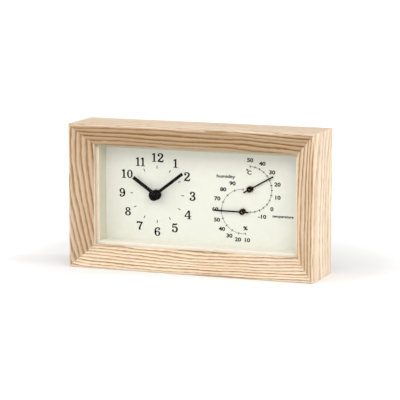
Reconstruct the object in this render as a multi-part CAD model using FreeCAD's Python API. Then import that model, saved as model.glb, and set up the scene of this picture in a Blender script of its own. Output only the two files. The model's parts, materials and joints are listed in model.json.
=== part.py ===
"""Wooden box clock with a dial thermometer and a dial hygrometer.

Millimetres. X runs along the width, Y from the front (-) to the back (+), Z up from the surface that
the clock stands on. The origin is under the middle of the box. Angles of hands and pointers are
clockwise from twelve o'clock, seen from the front.
"""
import FreeCAD, Part
import math
import os

from FreeCAD import Vector

# ---------------------------------------------------------------- box frame
WIDTH = 206.0
HEIGHT = 116.0
DEPTH = 47.0
FRONT = -DEPTH / 2
BACK = DEPTH / 2
HALF = WIDTH / 2
RIM = 1.8              # flat front edge before the bevel starts
LIP_INSET = 17.25      # bevel's inner edge, from the outer face
BEVEL_DEPTH = 11.6
LIP_THICK = 2.5
WALL = 9.0             # rail thickness behind the lip
LEDGE_INSET = 4.0      # rebate that takes the back panel
EDGE_EASE = 0.5        # small chamfer along the outer edges

# ---------------------------------------------------------------- layers, front to back
FIT = 0.3              # clearance round each loose layer
GLASS_Y = FRONT + BEVEL_DEPTH + LIP_THICK
GLASS_THICK = 2.0
SPACER_Y = GLASS_Y + GLASS_THICK
DIAL_Y = 7.0           # dial's front face
DIAL_THICK = 0.8
DIAL_BACK = DIAL_Y + DIAL_THICK
WINDOW_INSET = 19.7    # spacers' inner faces, from the outer face of the box
PAD_THICK = 0.7
CASE_Y = DIAL_BACK + PAD_THICK
PANEL_Y = 19.0
PANEL_THICK = 3.0
BLOCK = 10.0           # corner blocks that hold the dial forward

# ---------------------------------------------------------------- dial features
CLOCK = (-38.8, 58.0)
THERMO = (40.4, 66.3)
HYGRO = (34.2, 48.05)
SENSOR_HOLE_R = 3.0
MINUTE_ANGLE = 52.5
HOUR_ANGLE = 300.0 + MINUTE_ANGLE / 12
THERMO_ANGLE = 60.4
HYGRO_ANGLE = 270.5

# ---------------------------------------------------------------- hands and pointers
HUB_R = 4.3
HOUR_HUB_Y = (2.2, 5.0)
MINUTE_HUB_Y = (-0.9, 1.8)
HOUR_LENGTH = 23.4
MINUTE_LENGTH = 30.6
HOUR_BAR_WIDTH = 2.8
MINUTE_BAR_WIDTH = 2.5
BAR_THICK = 0.6
HUB_CAP = 1.0          # solid front of the minute hub, ahead of its bore
HAND_FIT = 0.02        # hour hand's bore round the pipe
POINTER_HUB_R = 2.25
POINTER_HUB_Y = (4.6, 6.2)
POINTER_LENGTH = 22.8
POINTER_TAIL = 5.8
POINTER_WIDTH = 1.15
POINTER_THICK = 0.3
THERMO_BLADE_Y = 5.3
HYGRO_BLADE_Y = 4.8    # in its own plane, so the two pointers never meet

# ---------------------------------------------------------------- sensors
PLATE_R = 8.4
PLATE_THICK = 0.8
SENSOR_BUSH_R = 1.2
SENSOR_ARBOR_R = 0.5
ARBOR_PLAY = 0.05
ARBOR_PROUD = 0.1      # bright arbor end ahead of the hub
ARBOR_TAIL = 0.6       # arbor behind the coil
BUSH_PROUD = 0.1       # bush ahead of the dial
BUSH_GAP = 0.3         # bush to coil
COLLAR_LIP = 0.1       # coil collar past the strip, at each edge
COIL_INNER_R = 1.45
COIL_PITCH = 0.9
COIL_HALF_TURNS = 11
COIL_STRIP = 0.25
COIL_Y = (11.2, 12.8)
POST_R = 0.8
POST_GAP = 0.02
POST_TAIL = 0.2

# ---------------------------------------------------------------- movement
CASE = 56.0
CASE_WALL = 1.0
CASE_FLOOR = 0.8
CASE_SPLIT_Y = 12.0
CASE_REAR_Y = 18.0     # rear wall over the gear train
BAY_REAR_Y = 23.0      # rear edge of the battery bay
BAY_ROOF = -10.8       # top of the bay's roof, below the hand shaft
BUSH_R = 3.6
BUSH_FRONT = 5.6
PIPE_R = 2.5
PLAY = 0.1             # running clearance of pipe and setting arbor
PIVOT_PLAY = 0.06
ARBOR_R = 1.1
PIVOT_R = 0.4
BOSS_R = 1.2
BOSS_TOP = CASE_Y + 1.8
BOSS_ROOT = CASE_Y + 0.2
STUD_R = 0.6
PIVOT_DEPTH = 0.9      # pivot inside its boss
HOLE_DEPTH = 1.0
END_SHAKE = 0.15
SHOULDER = 0.1         # arbor's radius beyond its pivot
CLUTCH_R = 3.0
CLUTCH_GAP = 0.05
CLUTCH_THICK = 0.2
REAR_PLATE_Y = 16.2
REAR_PLATE_THICK = 0.7
WHEEL_THICK = 0.7
PLATE_BOX = (-18.6, 22.0, -9.0, 22.0)
PILLARS = ((-17.0, -7.4), (17.5, -6.0), (20.5, 20.5), (-7.0, 12.5))
PILLAR_R = 1.4
PILLAR_PIN_R = 0.7
PIN_PROUD = 0.2
CONTACT_SLOTS = (1.4, 2.0)
PAD_MARGIN = 3.0
PAD_BUSH_GAP = 1.5

# setting knob, on the rear of the movement
SET_ARBOR_R = 0.9
KNOB_R = 5.5
KNOB_Y = (CASE_REAR_Y + 0.6, CASE_REAR_Y + 4.6)
KNOB_BORE = 2.0
GROOVE_R = 0.45
GROOVE_RING = 5.6
GROOVES = 24

# gear layers: the front face of each
HOUR_LAYER, MINUTE_LAYER, CENTRE_LAYER, THIRD_LAYER, SECONDS_LAYER, FIFTH_LAYER = (
    9.6, 10.7, 11.8, 12.9, 14.0, 15.1)

# teeth and modules of each mesh
CANNON_TEETH, MINUTE_TEETH, MINUTE_PINION, HOUR_TEETH = 12, 36, 10, 40
CENTRE_TEETH, THIRD_TEETH, SECONDS_TEETH, FIFTH_TEETH, PINION = 64, 60, 40, 48, 8
MINUTE_MODULE = 0.30
THIRD_MODULE, SECONDS_MODULE, FIFTH_MODULE, ROTOR_MODULE = 0.25, 0.22, 0.25, 0.20
MESH_SLACK = 0.15      # extra centre distance, in modules
ADDENDUM, DEDENDUM = 0.9, 1.25                         # in modules
TOOTH_FOOT, TOOTH_TOP = 0.27, 0.09                     # half widths, in pitches
SPOKE_RING, SPOKE_HOLE, SPOKE_TURN = 0.58, 0.22, 0.4   # shares of the rim's radius, radians

# direction from each arbor to the next one
MINUTE_DIRECTION = math.radians(200)
KNOB_DIRECTION = math.radians(150)
THIRD_DIRECTION = math.radians(50)
SECONDS_DIRECTION = math.radians(10)
FIFTH_DIRECTION = math.radians(75)
ROTOR_DIRECTION = math.radians(120)

# ---------------------------------------------------------------- stepper motor and electronics
MAGNET_R = 2.8
MAGNET_Y = (11.5, 13.8)
STATOR_Y = 12.3
STATOR_THICK = 0.8
STATOR_GAP = 0.5
STATOR_ARM = 4.0
STATOR_RING = 1.1
STATOR_SPAN = (-9.0, 17.2)
CORE_Z = (23.0, 26.0)
WINDING_SPAN = (-4.6, 6.8)
WINDING_R = 2.4
BOARD = (-26.0, -11.0, 6.0, 26.0)
BOARD_Y = 14.6
BOARD_THICK = 0.8
BOARD_PINS = ((-23.0, 9.0), (-14.0, 23.0))
BOARD_PILLAR_R = 1.0
BOARD_PIN_R = 0.6
CHIP_CORNER = (6.0, 8.0)
CHIP_SIZE = 4.0
CHIP_THICK = 0.9
CRYSTAL_R = 1.0
CRYSTAL_LENGTH = 6.0
CRYSTAL_INSET = 3.0
CRYSTAL_GAP = 0.05

# ---------------------------------------------------------------- battery
CELL_R = 6.95
CELL_LENGTH = 50.5
CELL_Y = CASE_Y + CASE_FLOOR + 0.1 + CELL_R
CELL_Z = CLOCK[1] + BAY_ROOF - CASE_WALL - 0.6 - CELL_R
NUB_R = 2.75
NUB_LENGTH = 1.2
CONTACT_THICK = 0.4
CONTACT_GAP = 0.2
CONTACT_HALF = 4.0
CONTACT_Y = (CELL_Y - 4.0, CELL_Y + 3.0)
RISER_Y = (BOARD_Y - 2.6, BOARD_Y)
LEAD_Z = BAY_ROOF + 0.3
LEAD_X = BOARD[0] + 4.0
LEAD_TOP = BOARD[2] + 1.0
LEAF_R = 3.8           # bowed spring leaf of the negative contact
LEAF_HEIGHT = 0.8

# ---------------------------------------------------------------- back panel
CUTOUT_MARGIN = 0.8
CUTOUT_CORNER = 2.0
SCREW_INSET = (LEDGE_INSET + WALL) / 2
SCREW_X = (-88.0, 0.0, 88.0)
SCREW_R = 1.25
SCREW_LENGTH = 9.5
SCREW_HEAD_R = 2.3
SCREW_HEAD = 1.3
SLOT_HALF = (1.4, 0.35)
SLOT_FLOOR = 0.5
SCREW_CLEARANCE = 0.1
VENT_R = 1.5
VENT_PITCH = 5.5


# ---------------------------------------------------------------- plain solids
def block(x0, x1, y0, y1, z0, z1):
    return Part.makeBox(x1 - x0, y1 - y0, z1 - z0, Vector(x0, y0, z0))


def disc(centre, radius, y0, y1):
    return Part.makeCylinder(radius, y1 - y0, Vector(centre[0], y0, centre[1]), Vector(0, 1, 0))


def tube(centre, outer, inner, y0, y1):
    return disc(centre, outer, y0, y1).cut(disc(centre, inner, y0, y1))


def plate(points, y0, y1):
    """Closed outline of (x, z) points, extruded from y0 to y1."""
    corners = [Vector(x, y0, z) for x, z in points]
    face = Part.Face(Part.makePolygon(corners + corners[:1]))
    return face.extrude(Vector(0, y1 - y0, 0))


def fuse(shapes):
    return shapes[0].fuse(list(shapes[1:])).removeSplitter()


def cut(shape, tools):
    return shape.cut(list(tools))


def offset(centre, dx, dz):
    return (centre[0] + dx, centre[1] + dz)


def polar(centre, radius, angle):
    """Point at an angle from +X towards +Z, in radians."""
    return offset(centre, radius * math.cos(angle), radius * math.sin(angle))


def turned(shape, centre, angle):
    """Turn a shape that points up to a clockwise angle in degrees, seen from the front."""
    result = shape.copy()
    result.rotate(Vector(centre[0], 0, centre[1]), Vector(0, 1, 0), angle)
    return result


def save(name, shape):
    if not shape.isValid():
        raise ValueError(name + " is not a valid shape")
    shape.exportStep("parts/" + name + ".step")


# ---------------------------------------------------------------- wooden frame
def rail_section():
    """Section points as (inset from the outer face, y)."""
    return [
        (0, FRONT + EDGE_EASE), (EDGE_EASE, FRONT), (RIM, FRONT),
        (LIP_INSET, FRONT + BEVEL_DEPTH), (LIP_INSET, GLASS_Y), (WALL, GLASS_Y),
        (WALL, PANEL_Y), (LEDGE_INSET, PANEL_Y), (LEDGE_INSET, BACK),
        (EDGE_EASE, BACK), (0, BACK - EDGE_EASE)]


def mitred_rail(length):
    """Rail along +X with its outer face at z = 0 and its ends cut at 45 degrees."""
    corners = [Vector(0, y, inset) for inset, y in rail_section()]
    bar = Part.Face(Part.makePolygon(corners + corners[:1])).extrude(Vector(length, 0, 0))
    reach = LIP_INSET + 1
    keep = plate([(0, 0), (length, 0), (length - reach, reach), (reach, reach)], FRONT, BACK)
    return bar.common(keep)


def screw_places():
    return [(x, z) for x in SCREW_X for z in (SCREW_INSET, HEIGHT - SCREW_INSET)]


def make_frame():
    pilots = [disc(p, SCREW_R, PANEL_Y - SCREW_LENGTH, PANEL_Y) for p in screw_places()]
    bottom = mitred_rail(WIDTH)
    bottom.translate(Vector(-HALF, 0, 0))
    top = bottom.mirror(Vector(0, 0, HEIGHT / 2), Vector(0, 0, 1))
    left = mitred_rail(HEIGHT)
    left.rotate(Vector(0, 0, 0), Vector(0, 1, 0), -90)
    left = left.mirror(Vector(0, 0, 0), Vector(1, 0, 0))
    left.translate(Vector(-HALF, 0, 0))
    right = left.mirror(Vector(0, 0, 0), Vector(1, 0, 0))
    save("frame_bottom_rail", cut(bottom, pilots))
    save("frame_top_rail", cut(top, pilots))
    save("frame_left_stile", left)
    save("frame_right_stile", right)


# ---------------------------------------------------------------- glass, spacers, dial
def make_window():
    x = HALF - WALL - FIT
    low = WALL + FIT
    high = HEIGHT - low
    window_x = HALF - WINDOW_INSET
    window_low = WINDOW_INSET
    window_high = HEIGHT - WINDOW_INSET
    save("glass_pane", block(-x, x, GLASS_Y, SPACER_Y, low, high))
    save("spacer_bottom", block(-x, x, SPACER_Y, DIAL_Y, low, window_low))
    save("spacer_top", block(-x, x, SPACER_Y, DIAL_Y, window_high, high))
    save("spacer_left", block(-x, -window_x, SPACER_Y, DIAL_Y, window_low, window_high))
    save("spacer_right", block(window_x, x, SPACER_Y, DIAL_Y, window_low, window_high))
    holes = [disc(THERMO, SENSOR_HOLE_R, DIAL_Y, DIAL_BACK),
             disc(HYGRO, SENSOR_HOLE_R, DIAL_Y, DIAL_BACK),
             disc(CLOCK, BUSH_R + PLAY, DIAL_Y, DIAL_BACK)]
    save("dial_plate", cut(block(-x, x, DIAL_Y, DIAL_BACK, low, high), holes))


def make_corner_blocks():
    outer_x = HALF - WALL
    spans_x = ((-outer_x, -outer_x + BLOCK), (outer_x - BLOCK, outer_x))
    spans_z = ((WALL, WALL + BLOCK), (HEIGHT - WALL - BLOCK, HEIGHT - WALL))
    blocks = [block(xs[0], xs[1], DIAL_BACK, PANEL_Y, zs[0], zs[1])
              for xs in spans_x for zs in spans_z]
    save("corner_blocks", Part.makeCompound(blocks))


# ---------------------------------------------------------------- hands and pointers
def hand(centre, hub_y, length, width, bore_r, bore_y, angle):
    """Round hub with one square-ended bar; the bore runs back from bore_y."""
    hub = disc(centre, HUB_R, hub_y[0], hub_y[1])
    middle = (hub_y[0] + hub_y[1]) / 2
    bar = block(centre[0] - width / 2, centre[0] + width / 2,
                middle - BAR_THICK / 2, middle + BAR_THICK / 2, centre[1], centre[1] + length)
    whole = cut(fuse([hub, bar]), [disc(centre, bore_r, bore_y, hub_y[1])])
    return turned(whole, centre, angle)


def pointer(centre, blade_y, angle):
    """Thin needle with a short tail, on a round hub with a through bore."""
    hub = disc(centre, POINTER_HUB_R, POINTER_HUB_Y[0], POINTER_HUB_Y[1])
    half = POINTER_WIDTH / 2
    blade = block(centre[0] - half, centre[0] + half, blade_y, blade_y + POINTER_THICK,
                  centre[1] - POINTER_TAIL, centre[1] + POINTER_LENGTH)
    bore = disc(centre, SENSOR_ARBOR_R, POINTER_HUB_Y[0], POINTER_HUB_Y[1])
    return turned(cut(fuse([hub, blade]), [bore]), centre, angle)


def make_hands():
    hour = hand(CLOCK, HOUR_HUB_Y, HOUR_LENGTH, HOUR_BAR_WIDTH, PIPE_R + HAND_FIT,
                HOUR_HUB_Y[0], HOUR_ANGLE)
    minute = hand(CLOCK, MINUTE_HUB_Y, MINUTE_LENGTH, MINUTE_BAR_WIDTH, ARBOR_R,
                  MINUTE_HUB_Y[0] + HUB_CAP, MINUTE_ANGLE)
    save("hour_hand", hour)
    save("minute_hand", minute)


# ---------------------------------------------------------------- sensors
def spiral_strip(centre):
    """Flat coil of half circles whose radius grows by half a pitch at each."""
    def half_circles(side):
        arcs = []
        for turn in range(COIL_HALF_TURNS):
            radius = COIL_INNER_R + side * COIL_STRIP + turn * COIL_PITCH / 2
            shift = COIL_PITCH / 2 if turn % 2 else 0.0
            sign = -1 if turn % 2 else 1
            middle_x = centre[0] + shift
            start = Vector(middle_x + sign * radius, COIL_Y[0], centre[1])
            top = Vector(middle_x, COIL_Y[0], centre[1] + sign * radius)
            end = Vector(middle_x - sign * radius, COIL_Y[0], centre[1])
            arcs.append(Part.Arc(start, top, end).toShape())
        return arcs
    inner = half_circles(0)
    outer = half_circles(1)
    ends = [Part.makeLine(inner[0].Vertexes[0].Point, outer[0].Vertexes[0].Point),
            Part.makeLine(inner[-1].Vertexes[-1].Point, outer[-1].Vertexes[-1].Point)]
    wire = Part.Wire(Part.__sortEdges__(inner + outer + ends))
    return Part.Face(wire).extrude(Vector(0, COIL_Y[1] - COIL_Y[0], 0))


def make_sensor(name, centre, blade_y, angle, mirrored):
    """Mounting plate, bush, arbor, coil, post and pointer of one instrument."""
    plate_back = DIAL_BACK + PLATE_THICK
    bush_hole = disc(centre, SENSOR_BUSH_R, DIAL_BACK, plate_back)
    outer_r = COIL_INNER_R + COIL_STRIP + (COIL_HALF_TURNS - 1) * COIL_PITCH / 2
    post_x = -(outer_r + POST_R) if COIL_HALF_TURNS % 2 else outer_r + POST_R
    save(name + "_plate", cut(disc(centre, PLATE_R, DIAL_BACK, plate_back), [bush_hole]))
    save(name + "_bush", tube(centre, SENSOR_BUSH_R, SENSOR_ARBOR_R + ARBOR_PLAY,
                              DIAL_Y - BUSH_PROUD, COIL_Y[0] - BUSH_GAP))
    rod = disc(centre, SENSOR_ARBOR_R, POINTER_HUB_Y[0] - ARBOR_PROUD, COIL_Y[1] + ARBOR_TAIL)
    collar = disc(centre, SENSOR_BUSH_R, COIL_Y[0] - COLLAR_LIP, COIL_Y[1] + COLLAR_LIP)
    save(name + "_arbor", fuse([rod, collar]))
    coil = spiral_strip(centre)
    post = disc(offset(centre, post_x + math.copysign(POST_GAP, post_x), 0), POST_R,
                plate_back, COIL_Y[1] + POST_TAIL)
    if mirrored:
        plane = Vector(centre[0], 0, centre[1])
        coil = coil.mirror(plane, Vector(1, 0, 0))
        post = post.mirror(plane, Vector(1, 0, 0))
    save(name + "_coil", coil)
    save(name + "_post", post)
    save(name + "_pointer", pointer(centre, blade_y, angle))


# ---------------------------------------------------------------- gears
def root_radius(teeth, module):
    return module * (teeth / 2 - DEDENDUM)


def gear(centre, teeth, module, y0, phase, bore=0.0):
    """Straight-flanked toothed disc; a tooth stands at the phase angle (radians from +X to +Z)."""
    root = root_radius(teeth, module)
    tip = module * (teeth / 2 + ADDENDUM)
    pitch = 2 * math.pi / teeth
    profile = ((-TOOTH_FOOT, root), (-TOOTH_TOP, tip), (TOOTH_TOP, tip), (TOOTH_FOOT, root))
    points = [polar(centre, radius, phase + (k + part) * pitch)
              for k in range(teeth) for part, radius in profile]
    body = plate(points, y0, y0 + WHEEL_THICK)
    if bore:
        body = cut(body, [disc(centre, bore, y0, y0 + WHEEL_THICK)])
    return body


def spoked(shape, centre, teeth, module, y0):
    """Lighten a wheel with round holes."""
    rim = root_radius(teeth, module)
    places = [polar(centre, rim * SPOKE_RING, k * math.pi / 3 + SPOKE_TURN) for k in range(6)]
    holes = [disc(place, rim * SPOKE_HOLE, y0, y0 + WHEEL_THICK) for place in places]
    return cut(shape, holes)


def mesh_phase(phase, teeth, next_teeth, direction):
    """Phase of the next gear, so that its gap meets a tooth of the first in that direction."""
    half_gap = math.pi / next_teeth
    return direction + math.pi + half_gap + (direction - phase) * teeth / next_teeth


def mesh_distance(teeth, next_teeth, module):
    return module * ((teeth + next_teeth) / 2 + MESH_SLACK)


MINUTE_STUD = polar(CLOCK, mesh_distance(CANNON_TEETH, MINUTE_TEETH, MINUTE_MODULE), MINUTE_DIRECTION)
HOUR_MODULE = (mesh_distance(CANNON_TEETH, MINUTE_TEETH, MINUTE_MODULE)
               / ((MINUTE_PINION + HOUR_TEETH) / 2 + MESH_SLACK))
KNOB = polar(MINUTE_STUD, mesh_distance(CANNON_TEETH, MINUTE_TEETH, MINUTE_MODULE), KNOB_DIRECTION)
THIRD = polar(CLOCK, mesh_distance(CENTRE_TEETH, PINION, THIRD_MODULE), THIRD_DIRECTION)
SECONDS = polar(THIRD, mesh_distance(THIRD_TEETH, PINION, SECONDS_MODULE), SECONDS_DIRECTION)
FIFTH = polar(SECONDS, mesh_distance(SECONDS_TEETH, PINION, FIFTH_MODULE), FIFTH_DIRECTION)
ROTOR = polar(FIFTH, mesh_distance(FIFTH_TEETH, PINION, ROTOR_MODULE), ROTOR_DIRECTION)


def arbor(centre):
    """Wheel arbor with a finer pivot at each end."""
    return fuse([disc(centre, PIVOT_R + SHOULDER, BOSS_TOP + END_SHAKE, REAR_PLATE_Y - END_SHAKE),
                 disc(centre, PIVOT_R, BOSS_TOP - PIVOT_DEPTH, REAR_PLATE_Y + REAR_PLATE_THICK)])


def train_wheel(centre, teeth, module, wheel_y, wheel_phase, pinion_module, pinion_y, pinion_phase):
    wheel = spoked(gear(centre, teeth, module, wheel_y, wheel_phase), centre, teeth, module, wheel_y)
    pinion = gear(centre, PINION, pinion_module, pinion_y, pinion_phase)
    link = disc(centre, PIVOT_R + 3 * SHOULDER, min(wheel_y, pinion_y), max(wheel_y, pinion_y))
    return fuse([wheel, pinion, link, arbor(centre)])


def make_motion_work():
    """Parts that carry the hands and let the rear knob set them."""
    cannon_phase = 0.0
    minute_phase = mesh_phase(cannon_phase, CANNON_TEETH, MINUTE_TEETH, MINUTE_DIRECTION)
    pinion_phase = 0.0
    back_direction = MINUTE_DIRECTION + math.pi
    hour_phase = mesh_phase(pinion_phase, MINUTE_PINION, HOUR_TEETH, back_direction)
    knob_phase = mesh_phase(minute_phase, MINUTE_TEETH, CANNON_TEETH, KNOB_DIRECTION)

    shaft = disc(CLOCK, ARBOR_R, MINUTE_HUB_Y[0] + HUB_CAP, REAR_PLATE_Y - PLAY)
    pivot = disc(CLOCK, ARBOR_R / 2, REAR_PLATE_Y - PLAY, REAR_PLATE_Y + REAR_PLATE_THICK)
    cannon = gear(CLOCK, CANNON_TEETH, MINUTE_MODULE, MINUTE_LAYER, cannon_phase)
    save("minute_arbor", fuse([shaft, pivot, cannon]))
    spring_y = CENTRE_LAYER + WHEEL_THICK + CLUTCH_GAP
    save("clutch_spring", tube(CLOCK, CLUTCH_R, ARBOR_R, spring_y, spring_y + CLUTCH_THICK))

    pipe = disc(CLOCK, PIPE_R, HOUR_HUB_Y[0] + PLAY, HOUR_LAYER + WHEEL_THICK)
    hour_gear = gear(CLOCK, HOUR_TEETH, HOUR_MODULE, HOUR_LAYER, hour_phase)
    bore = disc(CLOCK, ARBOR_R + PLAY, HOUR_HUB_Y[0], HOUR_LAYER + WHEEL_THICK)
    save("hour_wheel", cut(fuse([pipe, hour_gear]), [bore]))

    stud_hole = disc(MINUTE_STUD, STUD_R + PIVOT_PLAY, HOUR_LAYER, MINUTE_LAYER + WHEEL_THICK)
    link = disc(MINUTE_STUD, BOSS_R, HOUR_LAYER, MINUTE_LAYER)
    wheel = fuse([gear(MINUTE_STUD, MINUTE_TEETH, MINUTE_MODULE, MINUTE_LAYER, minute_phase),
                  gear(MINUTE_STUD, MINUTE_PINION, HOUR_MODULE, HOUR_LAYER, pinion_phase), link])
    save("minute_wheel", cut(wheel, [stud_hole]))

    bore_end = KNOB_Y[0] + KNOB_BORE
    set_arbor = fuse([disc(KNOB, SET_ARBOR_R, MINUTE_LAYER, bore_end),
                      disc(KNOB, PIVOT_R, BOSS_TOP - PIVOT_DEPTH, MINUTE_LAYER),
                      gear(KNOB, CANNON_TEETH, MINUTE_MODULE, MINUTE_LAYER, knob_phase)])
    save("setting_arbor", set_arbor)
    places = [polar(KNOB, GROOVE_RING, k * 2 * math.pi / GROOVES) for k in range(GROOVES)]
    grooves = [disc(place, GROOVE_R, KNOB_Y[0], KNOB_Y[1]) for place in places]
    knob_bore = disc(KNOB, SET_ARBOR_R, KNOB_Y[0], bore_end)
    save("setting_knob", cut(disc(KNOB, KNOB_R, KNOB_Y[0], KNOB_Y[1]), grooves + [knob_bore]))


def make_going_train():
    centre_phase = 0.0
    third_pinion = mesh_phase(centre_phase, CENTRE_TEETH, PINION, THIRD_DIRECTION)
    third_phase = 0.0
    seconds_pinion = mesh_phase(third_phase, THIRD_TEETH, PINION, SECONDS_DIRECTION)
    seconds_phase = 0.0
    fifth_pinion = mesh_phase(seconds_phase, SECONDS_TEETH, PINION, FIFTH_DIRECTION)
    fifth_phase = 0.0
    rotor_phase = mesh_phase(fifth_phase, FIFTH_TEETH, PINION, ROTOR_DIRECTION)

    centre = gear(CLOCK, CENTRE_TEETH, THIRD_MODULE, CENTRE_LAYER, centre_phase, ARBOR_R + PIVOT_PLAY)
    save("centre_wheel", spoked(centre, CLOCK, CENTRE_TEETH, THIRD_MODULE, CENTRE_LAYER))
    save("third_wheel", train_wheel(THIRD, THIRD_TEETH, SECONDS_MODULE, THIRD_LAYER, third_phase,
                                    THIRD_MODULE, CENTRE_LAYER, third_pinion))
    save("seconds_wheel", train_wheel(SECONDS, SECONDS_TEETH, FIFTH_MODULE, SECONDS_LAYER,
                                      seconds_phase, SECONDS_MODULE, THIRD_LAYER, seconds_pinion))
    save("fifth_wheel", train_wheel(FIFTH, FIFTH_TEETH, ROTOR_MODULE, FIFTH_LAYER, fifth_phase,
                                    FIFTH_MODULE, SECONDS_LAYER, fifth_pinion))
    save("rotor_pinion", fuse([arbor(ROTOR), gear(ROTOR, PINION, ROTOR_MODULE, FIFTH_LAYER, rotor_phase)]))
    save("rotor_magnet", tube(ROTOR, MAGNET_R, PIVOT_R + SHOULDER, MAGNET_Y[0], MAGNET_Y[1]))


# ---------------------------------------------------------------- stepper motor and electronics
def case_block(x0, x1, y0, y1, z0, z1):
    """Block placed from the hand shaft's axis."""
    return block(CLOCK[0] + x0, CLOCK[0] + x1, y0, y1, CLOCK[1] + z0, CLOCK[1] + z1)


def make_motor():
    rotor_z = ROTOR[1] - CLOCK[1]
    left, right = STATOR_SPAN
    back = STATOR_Y + STATOR_THICK
    half_arm = STATOR_ARM / 2
    yoke = [case_block(left, right, STATOR_Y, back, rotor_z - half_arm, rotor_z + half_arm),
            case_block(left, left + STATOR_ARM, STATOR_Y, back, rotor_z, CORE_Z[1]),
            case_block(right - STATOR_ARM, right, STATOR_Y, back, rotor_z, CORE_Z[1]),
            disc(ROTOR, MAGNET_R + STATOR_GAP + STATOR_RING, STATOR_Y, back)]
    save("stator", cut(fuse(yoke), [disc(ROTOR, MAGNET_R + STATOR_GAP, STATOR_Y, back)]))
    core = case_block(left, right, STATOR_Y - STATOR_THICK, STATOR_Y, CORE_Z[0], CORE_Z[1])
    save("coil_core", core)
    axis_z = CLOCK[1] + (CORE_Z[0] + CORE_Z[1]) / 2
    winding = Part.makeCylinder(WINDING_R, WINDING_SPAN[1] - WINDING_SPAN[0],
                                Vector(CLOCK[0] + WINDING_SPAN[0], STATOR_Y - STATOR_THICK / 2, axis_z),
                                Vector(1, 0, 0))
    save("coil_winding", winding.cut(core))


def make_electronics():
    x0, x1, z0, z1 = BOARD
    back = BOARD_Y + BOARD_THICK
    holes = [disc(offset(CLOCK, *pin), BOARD_PIN_R, BOARD_Y, back) for pin in BOARD_PINS]
    board = case_block(x0, x1, BOARD_Y, back, z0, z1)
    chip_x, chip_z = x0 + CHIP_CORNER[0], z0 + CHIP_CORNER[1]
    chip = case_block(chip_x, chip_x + CHIP_SIZE, BOARD_Y - CHIP_THICK, BOARD_Y, chip_z, chip_z + CHIP_SIZE)
    save("circuit_board", cut(fuse([board, chip]), holes))
    foot_x, foot_z = offset(CLOCK, x1 - CRYSTAL_INSET, z0 + CRYSTAL_INSET)
    foot = Vector(foot_x, BOARD_Y - CRYSTAL_R - CRYSTAL_GAP, foot_z)
    save("quartz_crystal", Part.makeCylinder(CRYSTAL_R, CRYSTAL_LENGTH, foot, Vector(0, 0, 1)))


def make_battery():
    left = CLOCK[0] - CELL_LENGTH / 2
    axis = Vector(1, 0, 0)
    can = Part.makeCylinder(CELL_R, CELL_LENGTH - NUB_LENGTH, Vector(left, CELL_Y, CELL_Z), axis)
    nub = Part.makeCylinder(NUB_R, CELL_LENGTH, Vector(left, CELL_Y, CELL_Z), axis)
    save("aa_battery", fuse([can, nub]))


def make_contacts():
    """Bent strips from each end of the battery to the circuit board."""
    end = CELL_LENGTH / 2 + CONTACT_GAP
    far = end + CONTACT_THICK
    cell_z = CELL_Z - CLOCK[1]
    low, high = cell_z - CONTACT_HALF, cell_z + CONTACT_HALF
    lead_back = LEAD_Z + CONTACT_THICK
    positive = fuse([
        case_block(end, far, CONTACT_Y[0], CONTACT_Y[1], low, high),
        case_block(end, far, RISER_Y[0], RISER_Y[1], cell_z, lead_back),
        case_block(LEAD_X, far, RISER_Y[0], RISER_Y[1], LEAD_Z, lead_back),
        case_block(LEAD_X, LEAD_X + CONTACT_THICK, RISER_Y[0], RISER_Y[1], LEAD_Z, LEAD_TOP)])
    save("contact_positive", positive)
    back = end + LEAF_HEIGHT
    leaf_y = (CONTACT_Y[0] + 1, CONTACT_Y[1] - 1)
    leaf = tube((CLOCK[0] - end - LEAF_R, CELL_Z), LEAF_R, LEAF_R - CONTACT_THICK, leaf_y[0], leaf_y[1])
    leaf = leaf.common(case_block(-back, -end, leaf_y[0], leaf_y[1], cell_z - LEAF_R, cell_z + LEAF_R))
    strip = case_block(-back - CONTACT_THICK, -back, CONTACT_Y[0], CONTACT_Y[1], low, high)
    riser = case_block(-back - CONTACT_THICK, -back, RISER_Y[0], RISER_Y[1], cell_z, LEAD_TOP)
    save("contact_negative", fuse([leaf, strip, riser]))


# ---------------------------------------------------------------- movement case
def bay_box(y0, y1, grow=0.0):
    side = CASE / 2 - CASE_WALL + grow
    return case_block(-side, side, y0, y1, -CASE / 2 + CASE_WALL - grow, BAY_ROOF - CASE_WALL + grow)


def train_box(y0, y1):
    side = CASE / 2 - CASE_WALL
    return case_block(-side, side, y0, y1, BAY_ROOF, CASE / 2 - CASE_WALL)


def contact_slots(y0, y1):
    """Gaps in the bay's roof that let the contact strips through."""
    reach = CASE / 2 - CASE_WALL
    left, right = CONTACT_SLOTS
    return [case_block(-reach, -reach + left, y0, y1, BAY_ROOF - CASE_WALL, BAY_ROOF),
            case_block(reach - right, reach, y0, y1, BAY_ROOF - CASE_WALL, BAY_ROOF)]


def moulded_supports():
    """Bosses, studs and pillars that stand on the front case's floor."""
    solids = [disc(CLOCK, BUSH_R, BUSH_FRONT, BOSS_ROOT)]
    for place in (KNOB, THIRD, SECONDS, FIFTH, ROTOR):
        solids.append(disc(place, BOSS_R, BOSS_ROOT, BOSS_TOP))
    solids.append(disc(MINUTE_STUD, STUD_R, BOSS_ROOT, MINUTE_LAYER + WHEEL_THICK + PIN_PROUD))
    for pillar in PILLARS:
        place = offset(CLOCK, *pillar)
        solids.append(disc(place, PILLAR_R, BOSS_ROOT, REAR_PLATE_Y))
        solids.append(disc(place, PILLAR_PIN_R, REAR_PLATE_Y - PIN_PROUD,
                           REAR_PLATE_Y + REAR_PLATE_THICK + PIN_PROUD))
    for pin in BOARD_PINS:
        place = offset(CLOCK, *pin)
        solids.append(disc(place, BOARD_PILLAR_R, BOSS_ROOT, BOARD_Y))
        solids.append(disc(place, BOARD_PIN_R, BOARD_Y - PIN_PROUD, BOARD_Y + BOARD_THICK + PIN_PROUD))
    return solids


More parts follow.
